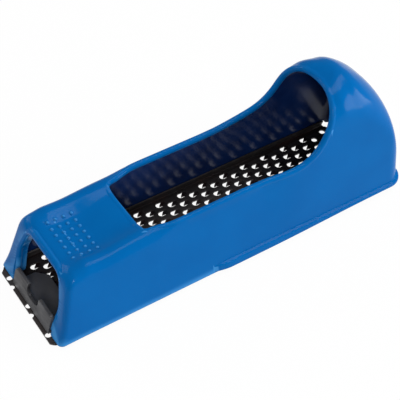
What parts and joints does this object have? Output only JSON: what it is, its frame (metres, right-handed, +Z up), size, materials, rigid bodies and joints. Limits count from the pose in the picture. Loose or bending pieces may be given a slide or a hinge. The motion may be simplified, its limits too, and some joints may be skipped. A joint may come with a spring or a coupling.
{
  "type": "rasp plane",
  "caption": "One-hand rasp plane: a painted cast body with an open grip and palm hump holds a perforated toothed steel blade, drawn tight by a heel screw.",
  "frame": {"origin": "centre of the bounding box's bottom, on the plane of the tooth lands", "axes": "+X runs from the toe to the heel, +Z up through the hump, +Y across the blade, to the left when looking from the toe to the heel"},
  "size_m": [0.1466, 0.0456, 0.0509],
  "materials": {
    "body_paint": "gloss blue enamel on a cast alloy body",
    "blade_steel": "hardened and blackened steel",
    "clamp_steel": "dull dark grey steel",
    "zinc_steel": "bright zinc-plated steel"
  },
  "bodies": {
    "shell": {"body": "body_paint", "screw_washer": "zinc_steel"},
    "blade_train": {"blade": "blade_steel", "front_clamp": "clamp_steel", "rear_hook": "clamp_steel", "tension_nut": "zinc_steel"},
    "screw": {"tension_screw": "zinc_steel"}
  },
  "joints": [
    {"name": "blade_slide", "type": "slide", "parent": "shell", "child": "blade_train", "axis": [-1, 0, 0], "range_m": [0, 0.0024]},
    {"name": "screw_turn", "type": "hinge", "parent": "shell", "child": "screw", "pos_m": [0.07, 0, 0.0109], "axis": [1, 0, 0], "range_deg": [0, 1080]}
  ],
  "couplings": [
    {"joint": "screw_turn", "follows": "blade_slide", "rad_per_m": 7854}
  ]
}
